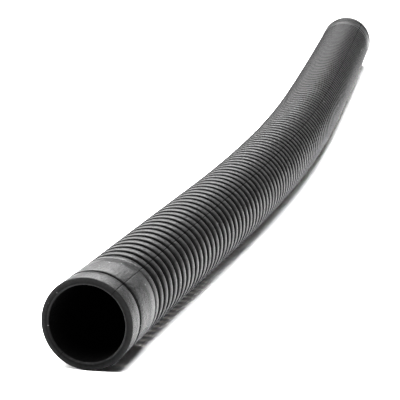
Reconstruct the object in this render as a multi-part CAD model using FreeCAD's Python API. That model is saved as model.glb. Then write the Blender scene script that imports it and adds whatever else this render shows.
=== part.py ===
"""A pool vacuum hose: one ribbed hose section with a moulded cuff at each end.

Millimetres, +Z up. The hose lies on the plane z = 0 and runs along +Y from its near mouth to its
far mouth. The origin is the centre of the bounding box's bottom face. The ribbed wall bends at three
places, so it is cut there into links, with a short flexing piece across each cut.
"""
import FreeCAD, Part
import math
import os

OUTER_RADIUS = 22.6        # over the ribs
HOSE_BORE_RADIUS = 19.5    # the mean clear way inside the ribs
MOUTH_RADIUS = 23.0        # over a cuff at its mouth; it tapers down to the ribs
CUFF_BORE_RADIUS = 19.0    # takes the 38 mm spigot of a pool cleaner or skimmer fitting

CUFF_LENGTH = 47.6         # from the mouth to the middle of the first deep groove

MOUTH_ROUNDING = 0.8       # outer edge of the mouth
MOUTH_CHAMFER = 0.5        # inner edge of the mouth
EDGE_ROUNDING = 0.35       # edges of the cuff's bands
MOUTH_BAND = 12.2          # width of the narrow band at the mouth
CUFF_GROOVE = 2.4          # groove behind the mouth band
CUFF_GROOVE_DEPTH = 2.2
WIDE_BAND_END = 38.7       # where the plain gripping band stops
WITNESS_LINE = 0.5         # fine line that closes the wide band
WITNESS_DEPTH = 0.35
RIB_GROOVE = 2.8           # width of each groove between two ribs
RIB_GROOVE_DEPTH = 2.4

# The centreline on the ground, from the near mouth to the far one.
ROUTE = [
    (-12.2, -500.7),
    (-6.9, -422.3),
    (0.1, -324.3),
    (8.8, -206.5),
    (12.9, -68.9),
    (11.3, 48.9),
    (5.6, 176.6),
    (0.0, 284.6),
    (-6.1, 394.6),
    (-12.2, 501.0),
]
ARC_SHARE = 0.45           # share of the shorter run that an arc takes up

FLEX_HALF = 12.0           # a flexing piece reaches this far to each side of its bend
BODY_GAP = 0.3             # clearance between two bodies

UP = FreeCAD.Vector(0, 0, 1)


def route_pieces():
    """The route as straight lines and tangent arcs, each with the station where it starts."""
    points = [FreeCAD.Vector(x, y, MOUTH_RADIUS) for x, y in ROUTE]
    pieces = []
    station = 0.0
    here = points[0]
    for before, corner, after in zip(points, points[1:], points[2:]):
        run_in = corner - before
        run_out = after - corner
        way_in = FreeCAD.Vector(run_in).normalize()
        way_out = FreeCAD.Vector(run_out).normalize()
        turn = math.atan2(way_in.cross(way_out).z, way_in.dot(way_out))
        tangent = ARC_SHARE * min(run_in.Length, run_out.Length)
        radius = tangent / math.tan(abs(turn) / 2)
        arc_start = corner - way_in * tangent
        line_length = (arc_start - here).Length
        pieces.append({"at": station, "length": line_length, "start": here, "way": way_in, "turn": 0.0})
        station += line_length
        to_centre = UP.cross(way_in) * math.copysign(radius, turn)
        arc_length = radius * abs(turn)
        pieces.append({"at": station, "length": arc_length, "start": arc_start, "way": way_in,
                       "turn": turn, "centre": arc_start + to_centre})
        print(f"bend of {math.degrees(turn):.2f} degrees, radius {radius:.0f} mm")
        station += arc_length
        here = corner + way_out * tangent
    last_run = points[-1] - here
    pieces.append({"at": station, "length": last_run.Length, "start": here,
                   "way": FreeCAD.Vector(last_run).normalize(), "turn": 0.0})
    return pieces


PIECES = route_pieces()
LENGTH = PIECES[-1]["at"] + PIECES[-1]["length"]


def turned(vector, angle):
    """The vector, turned by an angle in radians about the vertical."""
    return FreeCAD.Rotation(UP, math.degrees(angle)).multVec(vector)


def place(piece, distance):
    """The point and the direction at a distance along one piece of the route."""
    if piece["turn"] == 0.0:
        return piece["start"] + piece["way"] * distance, piece["way"]
    angle = piece["turn"] * distance / piece["length"]
    spoke = piece["start"] - piece["centre"]
    return piece["centre"] + turned(spoke, angle), turned(piece["way"], angle)


def station_place(station):
    """The point and the direction at a station, measured along the route from the near mouth."""
    piece = [p for p in PIECES if p["at"] <= max(station, 0.0)][-1]
    return place(piece, station - piece["at"])


def ring_face(point, way, outer, inner):
    """A flat ring square to the route."""
    rim = Part.Wire(Part.makeCircle(outer, point, way))
    hole = Part.Wire(Part.makeCircle(inner, point, way))
    return Part.Face(rim).cut(Part.Face(hole)).Faces[0]


def tube(start, end):
    """The plain hose wall between two stations, as one solid."""
    solids = []
    for piece in PIECES:
        low = max(start, piece["at"])
        high = min(end, piece["at"] + piece["length"])
        if high - low < 1e-6:
            continue
        point, way = place(piece, low - piece["at"])
        ring = ring_face(point, way, OUTER_RADIUS, HOSE_BORE_RADIUS)
        if piece["turn"] == 0.0:
            solids.append(ring.extrude(way * (high - low)))
        else:
            sweep = math.degrees(piece["turn"]) * (high - low) / piece["length"]
            solids.append(ring.revolve(piece["centre"], UP, sweep))
    wall = solids[0].multiFuse(solids[1:]) if len(solids) > 1 else solids[0]
    section = math.pi * (OUTER_RADIUS ** 2 - HOSE_BORE_RADIUS ** 2)
    print(f"tube {start:.1f} to {end:.1f}: volume {wall.Volume:.0f}, "
          f"section times length {section * (end - start):.0f}")
    return Part.Solid(wall.Solids[0])


def cuff():
    """A moulded cuff about the Z axis, with its mouth at z = 0 and the hose above it."""
    edge = EDGE_ROUNDING
    groove_end = MOUTH_BAND + CUFF_GROOVE
    groove_radius = MOUTH_RADIUS - CUFF_GROOVE_DEPTH
    witness_middle = WIDE_BAND_END + WITNESS_LINE / 2
    witness_end = WIDE_BAND_END + WITNESS_LINE
    rib_end = CUFF_LENGTH - RIB_GROOVE / 2
    rib_root = OUTER_RADIUS - RIB_GROOVE_DEPTH

    def over(height):
        """The radius over the cuff at a height above its mouth."""
        return MOUTH_RADIUS + (OUTER_RADIUS - MOUTH_RADIUS) * height / CUFF_LENGTH

    def point(radius, height):
        return FreeCAD.Vector(radius, 0, height)

    def line(start, end):
        return Part.LineSegment(point(*start), point(*end)).toShape()

    def rounded_edge(start, end, centre):
        a, b, c = point(*start), point(*end), point(*centre)
        outward = (a + b) * 0.5 - c
        outward.normalize()
        return Part.Arc(a, c + outward * (a - c).Length, b).toShape()

    mouth_outer = over(MOUTH_ROUNDING)
    band_outer = over(MOUTH_BAND - edge)
    wide_outer = over(groove_end + edge)
    rib_outer = over(rib_end - edge)
    corners = [
        (CUFF_BORE_RADIUS + MOUTH_CHAMFER, 0.0),
        (mouth_outer - MOUTH_ROUNDING, 0.0),
        (mouth_outer, MOUTH_ROUNDING),
        (band_outer, MOUTH_BAND - edge),
        (band_outer - edge, MOUTH_BAND),
        (groove_radius, MOUTH_BAND),
        (groove_radius, groove_end),
        (wide_outer - edge, groove_end),
        (wide_outer, groove_end + edge),
        (over(WIDE_BAND_END), WIDE_BAND_END),
        (over(witness_middle) - WITNESS_DEPTH, witness_middle),
        (over(witness_end), witness_end),
        (rib_outer, rib_end - edge),
        (rib_outer - edge, rib_end),
        (rib_root, rib_end),
        (rib_root, CUFF_LENGTH),
        (CUFF_BORE_RADIUS, CUFF_LENGTH),
        (CUFF_BORE_RADIUS, MOUTH_CHAMFER),
    ]
    # The roundings, each by the corner where it starts, with its centre.
    rounded = {
        1: (mouth_outer - MOUTH_ROUNDING, MOUTH_ROUNDING),
        3: (band_outer - edge, MOUTH_BAND - edge),
        7: (wide_outer - edge, groove_end + edge),
        12: (rib_outer - edge, rib_end - edge),
    }
    edges = []
    for index, start in enumerate(corners):
        end = corners[(index + 1) % len(corners)]
        if index in rounded:
            edges.append(rounded_edge(start, end, rounded[index]))
        else:
            edges.append(line(start, end))
    profile = Part.Face(Part.Wire(edges))
    return profile.revolve(FreeCAD.Vector(0, 0, 0), UP, 360)


def placed_cuff(station, inward):
    """A cuff with its mouth at a station. inward is 1 where the hose runs on, -1 where it ends."""
    point, way = station_place(station)
    solid = cuff()
    solid.Placement = FreeCAD.Placement(point, FreeCAD.Rotation(UP, way * inward))
    return solid


def main():
    os.makedirs("parts", exist_ok=True)
    hose_start = CUFF_LENGTH
    hose_end = LENGTH - CUFF_LENGTH
    third = (hose_end - hose_start) / 3
    bends = [hose_start + third * (0.5 + index) for index in range(3)]
    print(f"length along the centreline {LENGTH:.2f}")

    nodes = {
        "near_cuff": placed_cuff(0.0, 1),
        "far_cuff": placed_cuff(LENGTH, -1),
    }
    # Each link runs from the end of one flexing piece to the start of the next, in two tubes.
    link_names = ["near_end", "near_middle", "far_middle", "far_end"]
    link_starts = [hose_start] + [bend + FLEX_HALF for bend in bends]
    link_ends = [bend - FLEX_HALF for bend in bends] + [hose_end]
    for name, start, end in zip(link_names, link_starts, link_ends):
        middle = (start + end) / 2
        nodes[f"{name}_hose_a"] = tube(start, middle)
        nodes[f"{name}_hose_b"] = tube(middle, end)
    # A flexing piece touches the link that carries it and stays clear of the one that swings.
    for name, bend in zip(["near_flex", "middle_flex", "far_flex"], bends):
        carried_by_later = name == "near_flex"
        start = bend - FLEX_HALF + (BODY_GAP if carried_by_later else 0.0)
        end = bend + FLEX_HALF - (0.0 if carried_by_later else BODY_GAP)
        nodes[name] = tube(start, end)
        point, way = station_place(bend)
        print(f"{name} bends at x {point.x:.3f}, y {point.y:.3f}, z {point.z:.3f}")

    for name, shape in nodes.items():
        shape.exportStep(f"parts/{name}.step")
        box = shape.optimalBoundingBox(False)
        print(f"{name}: valid {shape.isValid()}, solids {len(shape.Solids)}, "
              f"x {box.XMin:.2f} {box.XMax:.2f}, y {box.YMin:.2f} {box.YMax:.2f}, "
              f"z {box.ZMin:.2f} {box.ZMax:.2f}")


main()
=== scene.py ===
import math

import bpy
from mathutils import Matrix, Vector


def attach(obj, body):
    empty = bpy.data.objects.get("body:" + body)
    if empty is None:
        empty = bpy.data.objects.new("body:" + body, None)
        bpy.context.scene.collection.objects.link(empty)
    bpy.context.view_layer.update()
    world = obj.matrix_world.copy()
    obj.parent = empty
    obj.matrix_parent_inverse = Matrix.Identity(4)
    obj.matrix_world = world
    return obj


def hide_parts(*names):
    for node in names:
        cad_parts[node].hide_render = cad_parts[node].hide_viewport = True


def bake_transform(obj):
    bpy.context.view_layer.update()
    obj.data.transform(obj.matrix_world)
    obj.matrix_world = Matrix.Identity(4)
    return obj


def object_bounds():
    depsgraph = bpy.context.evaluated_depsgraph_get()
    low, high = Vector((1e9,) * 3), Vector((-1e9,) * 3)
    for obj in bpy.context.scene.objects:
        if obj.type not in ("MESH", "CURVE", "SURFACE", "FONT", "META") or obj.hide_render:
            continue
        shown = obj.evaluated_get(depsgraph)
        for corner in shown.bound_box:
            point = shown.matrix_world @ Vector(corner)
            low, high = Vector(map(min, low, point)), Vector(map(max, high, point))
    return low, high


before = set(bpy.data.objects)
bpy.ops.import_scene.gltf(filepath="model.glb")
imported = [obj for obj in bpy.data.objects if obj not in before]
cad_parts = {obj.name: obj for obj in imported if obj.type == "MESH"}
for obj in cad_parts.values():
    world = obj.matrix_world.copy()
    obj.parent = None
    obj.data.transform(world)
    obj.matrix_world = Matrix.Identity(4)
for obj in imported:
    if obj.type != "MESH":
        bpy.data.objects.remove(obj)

cad_low, cad_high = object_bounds()

# Camera: a long lens close to the near mouth and low over the ground, so that the hose runs away
# from it and shrinks to about half its size at the far mouth. All lengths are in metres.
CAMERA_SIDEWAYS = 0.2146
CAMERA_BEHIND_MOUTH = 0.8628
CAMERA_HEIGHT = 0.2811
CAMERA_HEADING = 11.244      # degrees, turned to the left of the hose's own length
CAMERA_DOWN = 12.495         # degrees below the horizon
LENS = 175.66

camera = bpy.data.objects.new("camera", bpy.data.cameras.new("camera"))
bpy.context.scene.collection.objects.link(camera)
camera.location = (CAMERA_SIDEWAYS, cad_low.y - CAMERA_BEHIND_MOUTH, CAMERA_HEIGHT)
camera.rotation_euler = (math.radians(90 - CAMERA_DOWN), 0, math.radians(CAMERA_HEADING))
camera.data.lens = LENS
camera.data.clip_start = 0.01
camera.data.clip_end = 100
bpy.context.scene.camera = camera

# The hose's route on the ground: one moulding, straight at the cuffs, with the slight set that a
# hose keeps after it has been stored. It curves to the left, and its far third is almost straight.
MOUTH_RADIUS = 0.023
LINE_STEPS = 48              # steps of the smooth line from one point of the route to the next
ROUTE = [
    (-0.0122, -0.5007),
    (-0.0069, -0.4223),
    (0.0001, -0.3243),
    (0.0088, -0.2065),
    (0.0129, -0.0689),
    (0.0113, 0.0489),
    (0.0056, 0.1766),
    (0.0, 0.2846),
    (-0.0061, 0.3946),
    (-0.0122, 0.5010),
]

route_curve = bpy.data.curves.new("route", "CURVE")
route_curve.dimensions = "3D"
route_curve.resolution_u = LINE_STEPS
route_spline = route_curve.splines.new("NURBS")
route_spline.points.add(len(ROUTE) - 1)
for control, (x, y) in zip(route_spline.points, ROUTE):
    control.co = (x, y, MOUTH_RADIUS, 1.0)
route_spline.order_u = 3
route_spline.use_endpoint_u = True
route = bpy.data.objects.new("route", route_curve)
bpy.context.scene.collection.objects.link(route)


def line_of(curve_object):
    """The points of a curve's own smooth line."""
    graph = bpy.context.evaluated_depsgraph_get()
    mesh = bpy.data.meshes.new_from_object(curve_object.evaluated_get(graph))
    points = [vertex.co.copy() for vertex in mesh.vertices]
    bpy.data.meshes.remove(mesh)
    return points


route_line = line_of(route)
route_stations = [0.0]
for before, after in zip(route_line, route_line[1:]):
    route_stations.append(route_stations[-1] + (after - before).length)
HOSE_LENGTH = route_stations[-1]


# Ribbed wall: thin black polyethylene, blow-moulded against a two-part mould, with flat-topped ribs
# and narrow deep grooves. Three lengths meet at the bottom of a groove.
OUTER_RADIUS = 0.0226
CUFF_LENGTH = 0.0476
RIBS_EACH = 36
RIB_PITCH = (HOSE_LENGTH - 2 * CUFF_LENGTH) / (3 * RIBS_EACH)
WALL = 0.0011
GROOVE_HALF = 0.0016
GROOVE_DEPTH = 0.0030
RIB_CROWN = 0.00012                # how far a rib rises from its shoulder to its middle
ROUND_POINTS = 84
PARTING_ANGLES = (50.5, 230.5)     # degrees up from the hose's right-hand side
PARTING_HALF = 0.22                # degrees
PARTING_DEPTH = 0.00014
PARTING_CLEARING = 2.0             # degrees to each side without one of the even points
# Points across a parting line: how many halves from its middle, and how deep.
PARTING_STEPS = ((-6, 0.0), (-3, 0.0), (-1, 1.0), (1, 1.0), (3, 0.0), (6, 0.0))

# The third value of a section's point says where on the wall it is.
INSIDE = 0.0
OUTSIDE = 1.0
BARE_LIP = 2.0                     # as deep as a groove, but open to the light


def add_node(tree, kind, values=None, **settings):
    """A node with its settings, and its inputs given by name or number, as values or as links."""
    node = tree.nodes.new(kind)
    for name, value in settings.items():
        setattr(node, name, value)
    for name, value in (values or {}).items():
        socket = node.inputs[name]
        if isinstance(value, bpy.types.NodeSocket):
            tree.links.new(value, socket)
        else:
            socket.default_value = value
    return node


def add_math(tree, operation, *values):
    """The result of a math node, or of a chain of them for more than two values."""
    node = add_node(tree, "ShaderNodeMath", dict(enumerate(values[:2])), operation=operation)
    for value in values[2:]:
        node = add_node(tree, "ShaderNodeMath", {0: node.outputs[0], 1: value}, operation=operation)
    return node.outputs[0]


def add_vector_math(tree, operation, *values):
    """The result of a vector math node."""
    node = add_node(tree, "ShaderNodeVectorMath", dict(enumerate(values)), operation=operation)
    return node.outputs[0]


def add_scaled(tree, vector, amount):
    """A vector times a number."""
    node = add_node(tree, "ShaderNodeVectorMath", {0: vector, "Scale": amount}, operation="SCALE")
    return node.outputs[0]


def new_tree(name, inputs):
    """An empty Geometry Nodes tree with named inputs, and the geometry as its output."""
    tree = bpy.data.node_groups.new(name, "GeometryNodeTree")
    for label, kind in inputs:
        tree.interface.new_socket(label, in_out="INPUT", socket_type=kind)
    tree.interface.new_socket("Geometry", in_out="OUTPUT", socket_type="NodeSocketGeometry")
    return tree, tree.nodes.new("NodeGroupInput"), tree.nodes.new("NodeGroupOutput")


def lay_on_route_tree():
    """Turns a closed section, whose x is the station and y the radius, and lays it along the route."""
    tree, given, result = new_tree("lay_on_route", [
        ("Section", "NodeSocketGeometry"),
        ("Turn", "NodeSocketObject"),
        ("Route", "NodeSocketObject"),
        ("Outer Radius", "NodeSocketFloat"),
        ("Groove Depth", "NodeSocketFloat"),
        ("Line Depth", "NodeSocketFloat"),
        ("Material", "NodeSocketMaterial"),
    ])
    place = add_node(tree, "GeometryNodeInputPosition").outputs[0]
    turn = add_node(tree, "GeometryNodeObjectInfo", {"Object": given.outputs["Turn"]})
    section = add_node(tree, "GeometryNodeCaptureAttribute", domain="POINT")
    section.capture_items.new("VECTOR", "Section")
    tree.links.new(given.outputs["Section"], section.inputs["Geometry"])
    tree.links.new(place, section.inputs[1])
    round_ = add_node(tree, "GeometryNodeCaptureAttribute", domain="POINT")
    round_.capture_items.new("VECTOR", "Round")
    tree.links.new(turn.outputs["Geometry"], round_.inputs["Geometry"])
    tree.links.new(place, round_.inputs[1])
    wall = add_node(tree, "GeometryNodeCurveToMesh", {
        "Curve": round_.outputs["Geometry"], "Profile Curve": section.outputs["Geometry"]})

    at = add_node(tree, "ShaderNodeSeparateXYZ", {0: section.outputs[1]})
    around = add_node(tree, "ShaderNodeSeparateXYZ", {0: round_.outputs[1]})
    # The z of a point on the turn is 1 on the mould's parting line.
    line = around.outputs["Z"]
    outside = add_math(tree, "GREATER_THAN", at.outputs["Z"], (INSIDE + OUTSIDE) / 2)
    dent = add_math(tree, "MULTIPLY", line, outside, given.outputs["Line Depth"])
    radius = add_math(tree, "SUBTRACT", at.outputs["Y"], dent)

    route_info = add_node(tree, "GeometryNodeObjectInfo", {"Object": given.outputs["Route"]})
    sample = add_node(tree, "GeometryNodeSampleCurve", {
        "Curves": route_info.outputs["Geometry"], "Length": at.outputs["X"]},
        mode="LENGTH", use_all_curves=True)
    up = (0.0, 0.0, 1.0)
    side = add_vector_math(tree, "CROSS_PRODUCT", sample.outputs["Tangent"], up)
    side = add_vector_math(tree, "NORMALIZE", side)
    across = add_math(tree, "MULTIPLY", radius, around.outputs["X"])
    above = add_math(tree, "MULTIPLY", radius, around.outputs["Y"])
    spoke = add_vector_math(tree, "ADD", add_scaled(tree, side, across), add_scaled(tree, up, above))
    target = add_vector_math(tree, "ADD", sample.outputs["Position"], spoke)
    laid = add_node(tree, "GeometryNodeSetPosition", {
        "Geometry": wall.outputs["Mesh"], "Position": target})

    # Three values stay on the surface for the material: the place on the straight hose, how deep
    # the point lies below the ribs, which is none on a bare lip, and whether it is on a parting line.
    # The last two mask the painted shade in the grooves, the bore and the parting line's dent.
    skin = add_node(tree, "ShaderNodeCombineXYZ", {"X": across, "Y": at.outputs["X"], "Z": above})
    below = add_math(tree, "SUBTRACT", given.outputs["Outer Radius"], at.outputs["Y"])
    depth = add_node(tree, "ShaderNodeMath", {
        0: below, 1: given.outputs["Groove Depth"]}, operation="DIVIDE", use_clamp=True)
    covered = add_math(tree, "LESS_THAN", at.outputs["Z"], (OUTSIDE + BARE_LIP) / 2)
    stored = laid.outputs[0]
    for name, kind, value in (
        ("skin", "FLOAT_VECTOR", skin.outputs[0]),
        ("groove", "FLOAT", add_math(tree, "MULTIPLY", depth.outputs[0], covered)),
        ("parting", "FLOAT", add_math(tree, "MULTIPLY", line, outside)),
    ):
        store = add_node(tree, "GeometryNodeStoreNamedAttribute", {
            "Geometry": stored, "Name": name}, data_type=kind, domain="POINT")
        tree.links.new(value, store.inputs["Value"])
        stored = store.outputs[0]
    smooth = add_node(tree, "GeometryNodeSetShadeSmooth", {0: stored})
    real = add_node(tree, "GeometryNodeRealizeInstances", {"Geometry": smooth.outputs[0]})
    finish = add_node(tree, "GeometryNodeSetMaterial", {
        "Geometry": real.outputs[0], "Material": given.outputs["Material"]})
    tree.links.new(finish.outputs[0], result.inputs[0])
    return tree


def ribbed_section_tree(lay):
    """One closed section of the ribbed wall: rib after rib outside, and back again inside."""
    tree, given, result = new_tree("ribbed_wall", [
        ("Geometry", "NodeSocketGeometry"),
        ("Rib", "NodeSocketObject"),
        ("Outside Rows", "NodeSocketInt"),
        ("Inside Rows", "NodeSocketInt"),
        ("Ribs", "NodeSocketInt"),
        ("Pitch", "NodeSocketFloat"),
        ("Start", "NodeSocketFloat"),
        ("Turn", "NodeSocketObject"),
        ("Route", "NodeSocketObject"),
        ("Outer Radius", "NodeSocketFloat"),
        ("Groove Depth", "NodeSocketFloat"),
        ("Line Depth", "NodeSocketFloat"),
        ("Material", "NodeSocketMaterial"),
    ])
    rows_out = given.outputs["Outside Rows"]
    rows_in = given.outputs["Inside Rows"]
    ribs = given.outputs["Ribs"]
    outside = add_math(tree, "ADD", add_math(tree, "MULTIPLY", ribs, rows_out), 1.0)
    inside = add_math(tree, "ADD", add_math(tree, "MULTIPLY", ribs, rows_in), 1.0)
    total = add_math(tree, "ADD", outside, inside)
    # The points are counted out along the outside, and back again along the inside.
    line = add_node(tree, "GeometryNodeCurvePrimitiveLine", mode="POINTS")
    points = add_node(tree, "GeometryNodeResampleCurve", {
        "Curve": line.outputs[0], "Count": total}, mode="COUNT")
    index = add_node(tree, "GeometryNodeInputIndex").outputs[0]
    is_inside = add_math(tree, "GREATER_THAN", index, add_math(tree, "SUBTRACT", outside, 0.5))

    def by_side(on_outside, on_inside):
        """One value along the outside, and another along the inside."""
        switch = add_node(tree, "GeometryNodeSwitch", {
            "Switch": is_inside, "False": on_outside, "True": on_inside}, input_type="FLOAT")
        return switch.outputs[0]

    back = add_math(tree, "SUBTRACT", add_math(tree, "SUBTRACT", total, 1.0), index)
    count = by_side(index, back)
    rows = by_side(rows_out, rows_in)
    rib = add_math(tree, "FLOOR", add_math(tree, "DIVIDE", add_math(tree, "ADD", count, 0.5), rows))
    row = add_math(tree, "SUBTRACT", count, add_math(tree, "MULTIPLY", rib, rows))
    row = add_math(tree, "ADD", row, by_side(0.0, rows_out))
    rib_info = add_node(tree, "GeometryNodeObjectInfo", {"Object": given.outputs["Rib"]})
    place = add_node(tree, "GeometryNodeInputPosition").outputs[0]
    rib_row = add_node(tree, "GeometryNodeSampleIndex", {
        "Geometry": rib_info.outputs["Geometry"], "Value": place, "Index": row},
        data_type="FLOAT_VECTOR", domain="POINT")
    at = add_node(tree, "ShaderNodeSeparateXYZ", {0: rib_row.outputs[0]})
    rib_start = add_math(tree, "MULTIPLY", rib, given.outputs["Pitch"])
    station = add_math(tree, "ADD", at.outputs["X"], rib_start, given.outputs["Start"])
    where = add_node(tree, "ShaderNodeCombineXYZ", {
        "X": station, "Y": at.outputs["Y"], "Z": at.outputs["Z"]})
    placed = add_node(tree, "GeometryNodeSetPosition", {
        "Geometry": points.outputs[0], "Position": where.outputs[0]})
    closed = add_node(tree, "GeometryNodeSetSplineCyclic", {
        "Geometry": placed.outputs[0], "Cyclic": True})
    wall = add_node(tree, "GeometryNodeGroup", node_tree=lay)
    tree.links.new(closed.outputs[0], wall.inputs["Section"])
    for name in ("Turn", "Route", "Outer Radius", "Groove Depth", "Line Depth", "Material"):
        tree.links.new(given.outputs[name], wall.inputs[name])
    tree.links.new(wall.outputs[0], result.inputs[0])
    return tree


def points_object(name, points):
    """Loose points, which a tree reads one by one."""
    mesh = bpy.data.meshes.new(name)
    mesh.from_pydata(points, [], [])
    holder = bpy.data.objects.new(name, mesh)
    bpy.context.scene.collection.objects.link(holder)
    return holder


def closed_curve_object(name, points):
    """A closed line through the points, which a tree sweeps or lays along the route."""
    curve = bpy.data.curves.new(name, "CURVE")
    curve.dimensions = "3D"
    spline = curve.splines.new("POLY")
    spline.points.add(len(points) - 1)
    for control, point in zip(spline.points, points):
        control.co = (*point, 1.0)
    spline.use_cyclic_u = True
    holder = bpy.data.objects.new(name, curve)
    bpy.context.scene.collection.objects.link(holder)
    return holder


def turn_points():
    """A unit circle, with close points across each parting line. z is 1 on the line."""
    angles = {}
    for step in range(ROUND_POINTS):
        angles[360.0 * step / ROUND_POINTS] = 0.0
    for line in PARTING_ANGLES:
        for angle in [a for a in angles if abs(a - line) < PARTING_CLEARING]:
            del angles[angle]
        for offset, deep in PARTING_STEPS:
            angles[line + offset * PARTING_HALF] = deep
    return [(math.cos(math.radians(a)), math.sin(math.radians(a)), angles[a]) for a in sorted(angles)]


# Half a groove, as distance along the hose and radius, with its corners rounded in short steps.
groove_floor = OUTER_RADIUS - GROOVE_DEPTH
rib_top = OUTER_RADIUS
half_pitch = RIB_PITCH / 2
half_groove_outside = [
    (0.0, groove_floor),
    (GROOVE_HALF - 0.00036, groove_floor),
    (GROOVE_HALF - 0.00014, groove_floor + 0.00026),
    (GROOVE_HALF, rib_top - RIB_CROWN - 0.00042),
    (GROOVE_HALF + 0.00012, rib_top - RIB_CROWN - 0.00014),
    (GROOVE_HALF + 0.00042, rib_top - RIB_CROWN),
]
half_groove_inside = [
    (0.0, groove_floor - WALL),
    (GROOVE_HALF + 0.0006, groove_floor - WALL),
    (GROOVE_HALF + 0.00095, groove_floor - WALL + 0.0004),
    (GROOVE_HALF + 0.0012, rib_top - WALL - 0.0004),
    (GROOVE_HALF + 0.0016, rib_top - WALL),
]


def whole_rib(half, side):
    """A rib's rows, from the middle of a groove to the next, mirrored about the rib's middle."""
    rows = [(x, y, side) for x, y in half]
    if side == OUTSIDE:
        rows.append((half_pitch, rib_top, side))
    rows += [(RIB_PITCH - x, y, side) for x, y in reversed(half[1:])]
    return rows


rib_outside = whole_rib(half_groove_outside, OUTSIDE)
rib_inside = whole_rib(half_groove_inside, INSIDE)
rib_rows = points_object("rib_rows", rib_outside + rib_inside)
turn = closed_curve_object("turn", turn_points())
lay_on_route = lay_on_route_tree()
ribbed_wall = ribbed_section_tree(lay_on_route)


def grown(name, tree, values):
    """A plain mesh object, made by a Geometry Nodes tree with the given inputs."""
    seed = bpy.data.objects.new(name, bpy.data.meshes.new(name))
    bpy.context.scene.collection.objects.link(seed)
    modifier = seed.modifiers.new("tree", "NODES")
    modifier.node_group = tree
    names = {item.name: item.identifier for item in tree.interface.items_tree if item.in_out == "INPUT"}
    for label, value in values.items():
        modifier[names[label]] = value
    graph = bpy.context.evaluated_depsgraph_get()
    mesh = bpy.data.meshes.new_from_object(seed.evaluated_get(graph), depsgraph=graph)
    seed.modifiers.remove(modifier)
    seed.data = mesh
    return seed


GRAIN_STRETCH = 0.35         # how much slower the grain changes along the hose than across it
GRAIN_SHARE = 0.6            # of the mottling, and the rest is broad patches
PATCH_SCALE = 90.0
MOTTLE_RANGE = (0.35, 0.65)  # the noise values that come out darkest and lightest
SPECK_SCALE = 520.0
SPECK_EDGE = (0.30, 0.12)    # where a speck begins to show, and where it is whole
SPECK_HEIGHT = 0.3
ROUGHNESS_SWING = 0.35


def moulded_skin_group():
    """Fine mottling, broad patches and raised specks of a blow-moulded surface, whose pale colour is a
    painted glint.
    """
    group = bpy.data.node_groups.new("moulded_skin", "ShaderNodeTree")
    for label, kind in (
        ("Place", "NodeSocketVector"),
        ("Mottle Scale", "NodeSocketFloat"),
        ("Speck Share", "NodeSocketFloat"),
        ("Dark", "NodeSocketColor"),
        ("Light", "NodeSocketColor"),
        ("Speck Glint Colour", "NodeSocketColor"),
        ("Roughness", "NodeSocketFloat"),
    ):
        group.interface.new_socket(label, in_out="INPUT", socket_type=kind)
    for label, kind in (("Colour", "NodeSocketColor"), ("Roughness", "NodeSocketFloat"),
                        ("Height", "NodeSocketFloat")):
        group.interface.new_socket(label, in_out="OUTPUT", socket_type=kind)
    given = group.nodes.new("NodeGroupInput")
    result = group.nodes.new("NodeGroupOutput")
    # The grain is drawn out along the hose.
    drawn = add_node(group, "ShaderNodeMapping", {
        "Vector": given.outputs["Place"], "Scale": (1.0, GRAIN_STRETCH, 1.0)})
    fine = add_node(group, "ShaderNodeTexNoise", {
        "Vector": drawn.outputs[0], "Scale": given.outputs["Mottle Scale"],
        "Detail": 4.0, "Roughness": 0.65})
    broad = add_node(group, "ShaderNodeTexNoise", {
        "Vector": given.outputs["Place"], "Scale": PATCH_SCALE, "Detail": 3.0, "Roughness": 0.55})
    blend = add_math(group, "ADD", add_math(group, "MULTIPLY", fine.outputs["Fac"], GRAIN_SHARE),
                     add_math(group, "MULTIPLY", broad.outputs["Fac"], 1.0 - GRAIN_SHARE))
    tone = add_node(group, "ShaderNodeMapRange", {
        "Value": blend, "From Min": MOTTLE_RANGE[0], "From Max": MOTTLE_RANGE[1]})
    body = add_node(group, "ShaderNodeMix", {
        "Factor": tone.outputs[0], 6: given.outputs["Dark"], 7: given.outputs["Light"]},
        data_type="RGBA")
    cells = add_node(group, "ShaderNodeTexVoronoi", {
        "Vector": given.outputs["Place"], "Scale": SPECK_SCALE, "Randomness": 1.0})
    chosen = add_node(group, "ShaderNodeTexWhiteNoise", {"Vector": cells.outputs["Position"]})
    rare = add_math(group, "LESS_THAN", chosen.outputs["Value"], given.outputs["Speck Share"])
    near = add_node(group, "ShaderNodeMapRange", {
        "Value": cells.outputs["Distance"], "From Min": SPECK_EDGE[0], "From Max": SPECK_EDGE[1]})
    speck = add_math(group, "MULTIPLY", rare, near.outputs[0])
    # Painted glint: the raised specks are coloured pale in place of the light their grains catch.
    coloured = add_node(group, "ShaderNodeMix", {
        "Factor": speck, 6: body.outputs[2], 7: given.outputs["Speck Glint Colour"]}, data_type="RGBA")
    swing = add_math(group, "MULTIPLY", add_math(group, "SUBTRACT", blend, 0.5), ROUGHNESS_SWING)
    rough = add_math(group, "ADD", given.outputs["Roughness"], swing)
    height = add_math(group, "ADD", blend, add_math(group, "MULTIPLY", speck, SPECK_HEIGHT))
    group.links.new(coloured.outputs[2], result.inputs["Colour"])
    group.links.new(rough, result.inputs["Roughness"])
    group.links.new(height, result.inputs["Height"])
    return group


moulded_skin = moulded_skin_group()

# Pale grey of the specks: a painted glint.
SPECK_GLINT_GREY = (0.3, 0.3, 0.3, 1.0)
# Painted shade: near black for the grooves, the bore and the parting line's dent.
PAINTED_SHADE_BLACK = (0.0015, 0.0015, 0.0015, 1.0)
DEEP_DULLNESS = 0.45         # added to the roughness at the bottom of a groove
GRAIN_SCALE = 800.0
SHEEN_LEVEL = 0.18           # of the plastic's plain reflection
RELIEF_STRENGTH = 0.9


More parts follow.
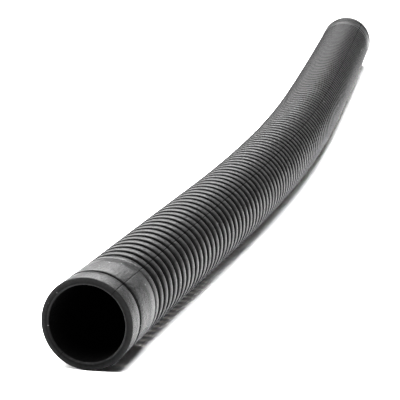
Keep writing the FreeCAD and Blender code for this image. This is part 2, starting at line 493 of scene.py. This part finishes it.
def black_plastic(name, specks, dark, light, rough, relief_depth):
    """Black moulded plastic, darker and duller in its grooves, bore and parting-line dent, the darkness
    being painted shade.
    """
    material = bpy.data.materials.new(name)
    material.use_nodes = True
    tree = material.node_tree
    shader = tree.nodes["Principled BSDF"]
    place = add_node(tree, "ShaderNodeAttribute", attribute_name="skin")
    groove = add_node(tree, "ShaderNodeAttribute", attribute_name="groove")
    parting = add_node(tree, "ShaderNodeAttribute", attribute_name="parting")
    skin = add_node(tree, "ShaderNodeGroup", node_tree=moulded_skin)
    for label, value in (("Mottle Scale", GRAIN_SCALE), ("Speck Share", specks), ("Dark", dark),
                         ("Light", light), ("Speck Glint Colour", SPECK_GLINT_GREY), ("Roughness", rough)):
        skin.inputs[label].default_value = value
    tree.links.new(place.outputs["Vector"], skin.inputs["Place"])
    # Doubled, so that the painted shade of the parting line stays full halfway down its sides.
    line = add_math(tree, "MULTIPLY", parting.outputs["Fac"], 2.0)
    # Painted shade: the colour turns near black with depth below the ribs and on the parting line.
    painted_shade_mask = add_math(tree, "MAXIMUM", groove.outputs["Fac"], line)
    painted_shade_mask = add_math(tree, "MINIMUM", painted_shade_mask, 1.0)
    colour = add_node(tree, "ShaderNodeMix", {
        "Factor": painted_shade_mask, 6: skin.outputs["Colour"], 7: PAINTED_SHADE_BLACK}, data_type="RGBA")
    tree.links.new(colour.outputs[2], shader.inputs["Base Color"])
    dull = add_math(tree, "MULTIPLY", painted_shade_mask, DEEP_DULLNESS)
    rough_skin = add_math(tree, "ADD", skin.outputs["Roughness"], dull)
    tree.links.new(rough_skin, shader.inputs["Roughness"])
    relief = add_node(tree, "ShaderNodeBump", {
        "Height": skin.outputs["Height"], "Distance": relief_depth, "Strength": RELIEF_STRENGTH})
    tree.links.new(relief.outputs[0], shader.inputs["Normal"])
    shader.inputs["Specular IOR Level"].default_value = SHEEN_LEVEL
    return material


rib_black = black_plastic("rib_black", specks=0.004, dark=(0.007, 0.007, 0.0071, 1.0),
                          light=(0.016, 0.016, 0.0162, 1.0), rough=0.38, relief_depth=0.0005)

third = RIBS_EACH * RIB_PITCH
LENGTHS = [
    ("near_ribbed_hose", "near_end", "near_middle",
     ("near_end_hose_a", "near_end_hose_b", "near_flex", "near_middle_hose_a")),
    ("middle_ribbed_hose", "near_middle", "far_middle",
     ("near_middle_hose_b", "middle_flex", "far_middle_hose_a")),
    ("far_ribbed_hose", "far_middle", "far_end",
     ("far_middle_hose_b", "far_flex", "far_end_hose_a", "far_end_hose_b")),
]
for number, (name, nearer, farther, nodes) in enumerate(LENGTHS):
    start = CUFF_LENGTH + number * third
    hose = grown(name, ribbed_wall, {
        "Rib": rib_rows, "Outside Rows": len(rib_outside), "Inside Rows": len(rib_inside),
        "Ribs": RIBS_EACH, "Pitch": RIB_PITCH, "Start": start, "Turn": turn, "Route": route,
        "Outer Radius": OUTER_RADIUS, "Groove Depth": GROOVE_DEPTH, "Line Depth": PARTING_DEPTH,
        "Material": rib_black})
    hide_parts(*nodes)
    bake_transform(hose)

# Cuffs: the same moulding, thicker and smooth, with a rounded mouth, a gripping band between a groove
# and a fine line, and a plain bore that a spigot is pushed into. There is one at each end.
MOUTH_GROOVE = (0.0122, 0.0146)
MOUTH_GROOVE_FLOOR = 0.0208
FINE_LINE = 0.03895
CUFF_BORE = 0.019
SHOULDER = 0.0004            # rounding at the edges of the bands
FINE_LINE_HALF = 0.00028
FINE_LINE_DEPTH = 0.00022


def smooth_cuff_tree(lay):
    """Lays one closed cuff outline along the route, beginning at a station."""
    tree, given, result = new_tree("smooth_cuff", [
        ("Geometry", "NodeSocketGeometry"),
        ("Outline", "NodeSocketObject"),
        ("Start", "NodeSocketFloat"),
        ("Turn", "NodeSocketObject"),
        ("Route", "NodeSocketObject"),
        ("Outer Radius", "NodeSocketFloat"),
        ("Groove Depth", "NodeSocketFloat"),
        ("Line Depth", "NodeSocketFloat"),
        ("Material", "NodeSocketMaterial"),
    ])
    outline = add_node(tree, "GeometryNodeObjectInfo", {"Object": given.outputs["Outline"]})
    begin = add_node(tree, "ShaderNodeCombineXYZ", {"X": given.outputs["Start"]})
    moved = add_node(tree, "GeometryNodeSetPosition", {
        "Geometry": outline.outputs["Geometry"], "Offset": begin.outputs[0]})
    wall = add_node(tree, "GeometryNodeGroup", node_tree=lay)
    tree.links.new(moved.outputs[0], wall.inputs["Section"])
    for name in ("Turn", "Route", "Outer Radius", "Groove Depth", "Line Depth", "Material"):
        tree.links.new(given.outputs[name], wall.inputs[name])
    tree.links.new(wall.outputs[0], result.inputs[0])
    return tree


def over(distance):
    """The radius over the cuff, which tapers from its mouth to the ribs."""
    return MOUTH_RADIUS + (OUTER_RADIUS - MOUTH_RADIUS) * distance / CUFF_LENGTH


def outside(distance, below=0.0):
    """A point on the outside of the cuff, or below it, at a distance from the mouth."""
    return (distance, over(distance) - below, OUTSIDE)


# The outline begins at the mouth's inner edge and goes round the lip, along the outside and back
# through the bore.
groove_start, groove_end = MOUTH_GROOVE
cuff_outline = [
    (0.0009, CUFF_BORE, INSIDE),
    (0.00055, CUFF_BORE + 0.00012, BARE_LIP),
    (0.00025, CUFF_BORE + 0.00042, BARE_LIP),
    (0.00008, CUFF_BORE + 0.0008, BARE_LIP),
    (0.0, CUFF_BORE + 0.0012, OUTSIDE),
    outside(0.0, 0.0007),
    outside(0.00006, 0.00038),
    outside(0.00022, 0.00016),
    outside(0.00044, 0.00005),
    outside(0.0008),
    outside(0.0035),
    outside(0.0075),
    outside(groove_start - SHOULDER),
    outside(groove_start - 0.00015, 0.0001),
    outside(groove_start, SHOULDER),
    (groove_start + 0.0001, MOUTH_GROOVE_FLOOR + 0.0002, OUTSIDE),
    (groove_start + 0.0003, MOUTH_GROOVE_FLOOR, OUTSIDE),
    (groove_end - 0.0003, MOUTH_GROOVE_FLOOR, OUTSIDE),
    (groove_end - 0.0001, MOUTH_GROOVE_FLOOR + 0.0002, OUTSIDE),
    outside(groove_end, SHOULDER),
    outside(groove_end + 0.00015, 0.0001),
    outside(groove_end + SHOULDER),
    outside(0.020),
    outside(0.026),
    outside(0.032),
    outside(FINE_LINE - FINE_LINE_HALF),
    outside(FINE_LINE - 0.0001, FINE_LINE_DEPTH),
    outside(FINE_LINE + 0.0001, FINE_LINE_DEPTH),
    outside(FINE_LINE + FINE_LINE_HALF),
    outside(0.0425),
    *[(CUFF_LENGTH - x, y, OUTSIDE) for x, y in reversed(half_groove_outside)],
    (CUFF_LENGTH, groove_floor - WALL, INSIDE),
    (CUFF_LENGTH - 0.002, CUFF_BORE, INSIDE),
    (0.024, CUFF_BORE, INSIDE),
]
cuff_black = black_plastic("cuff_black", specks=0.04, dark=(0.009, 0.009, 0.0091, 1.0),
                           light=(0.022, 0.022, 0.0223, 1.0), rough=0.36, relief_depth=0.0008)
smooth_cuff = smooth_cuff_tree(lay_on_route)
mirrored = [(-x, y, side) for x, y, side in reversed(cuff_outline)]
for name, node, body, start, outline in (
    ("near_cuff_moulding", "near_cuff", "near_end", 0.0, cuff_outline),
    ("far_cuff_moulding", "far_cuff", "far_end", HOSE_LENGTH, mirrored),
):
    outline_curve = closed_curve_object(name + "_outline", outline)
    cuff = grown(name, smooth_cuff, {
        "Outline": outline_curve, "Start": start, "Turn": turn, "Route": route,
        "Outer Radius": OUTER_RADIUS, "Groove Depth": GROOVE_DEPTH, "Line Depth": PARTING_DEPTH,
        "Material": cuff_black})
    bpy.data.objects.remove(outline_curve)
    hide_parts(node)
    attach(cuff, body)

# Floor and light: a white studio sheet under soft overhead lights, with bright walls behind and to
# the left, a small low lamp on the left that shines past the ribs, and a weak fill from the right.
SHEET_LOW = (-2.2, -1.7)
SHEET_HIGH = (1.3, 2.0)
SHEET_WHITE = (0.9, 0.9, 0.9, 1.0)
SHEET_ROUGHNESS = 0.8

floor_mesh = bpy.data.meshes.new("floor")
floor_mesh.from_pydata([(*SHEET_LOW, 0), (SHEET_HIGH[0], SHEET_LOW[1], 0), (*SHEET_HIGH, 0),
                        (SHEET_LOW[0], SHEET_HIGH[1], 0)], [], [(0, 1, 2, 3)])
floor = bpy.data.objects.new("floor", floor_mesh)
bpy.context.scene.collection.objects.link(floor)
white_floor = bpy.data.materials.new("white_floor")
white_floor.use_nodes = True
floor_shader = white_floor.node_tree.nodes["Principled BSDF"]
floor_shader.inputs["Base Color"].default_value = SHEET_WHITE
floor_shader.inputs["Roughness"].default_value = SHEET_ROUGHNESS
floor_mesh.materials.append(white_floor)


def soft_light(name, place, target, width, height, watts):
    """A rectangular light at a place, facing a target, that isn't itself seen."""
    lamp = bpy.data.lights.new(name, "AREA")
    lamp.shape = "RECTANGLE"
    lamp.size = width
    lamp.size_y = height
    lamp.energy = watts
    holder = bpy.data.objects.new(name, lamp)
    bpy.context.scene.collection.objects.link(holder)
    holder.location = place
    holder.rotation_euler = (Vector(target) - Vector(place)).to_track_quat("-Z", "Y").to_euler()
    holder.visible_camera = False


soft_light("key_light", (0.5, -0.2, 1.6), (0.0, -0.2, 0.0), width=0.45, height=0.42, watts=31)
soft_light("overhead_sheet", (-0.5, -0.75, 1.6), (-0.5, -0.75, 0.0), width=1.4, height=1.5, watts=68)
soft_light("back_left_wall", (-1.1, 3.3, 2.45), (-1.1, -0.3, 2.45), width=3.2, height=1.7, watts=160)
soft_light("back_right_wall", (1.4, 3.3, 1.4), (1.4, -0.3, 1.4), width=1.8, height=1.6, watts=15)
soft_light("low_left_lamp", (-2.0, -0.32, 0.33), (0.0, -0.4, 0.0), width=0.34, height=0.45, watts=70)
soft_light("left_wall", (-2.7, 0.8, 1.3), (0.0, 0.0, 0.1), width=2.4, height=1.6, watts=28)
soft_light("overhead_far", (-0.5, 0.75, 1.6), (-0.5, 0.75, 0.0), width=1.4, height=1.4, watts=20)
soft_light("front_right_wall", (2.4, -2.2, 0.9), (0.0, 0.0, 0.1), width=2.4, height=1.2, watts=6)

# The white beyond the sheet is only there to be seen, and it lights almost nothing.
SEEN_WHITE = 1.0
CAST_GLOW = 0.01
world = bpy.data.worlds.new("world")
world.use_nodes = True
background = world.node_tree.nodes["Background"]
background.inputs["Color"].default_value = (1, 1, 1, 1)
rays = add_node(world.node_tree, "ShaderNodeLightPath")
brightness = add_node(world.node_tree, "ShaderNodeMapRange", {
    "Value": rays.outputs["Is Camera Ray"], "To Min": CAST_GLOW, "To Max": SEEN_WHITE})
world.node_tree.links.new(brightness.outputs[0], background.inputs["Strength"])
bpy.context.scene.world = world
bpy.context.scene.view_settings.view_transform = "Standard"
bpy.context.scene.view_settings.look = "High Contrast"

for helper in (rib_rows, turn, route):
    bpy.data.objects.remove(helper)
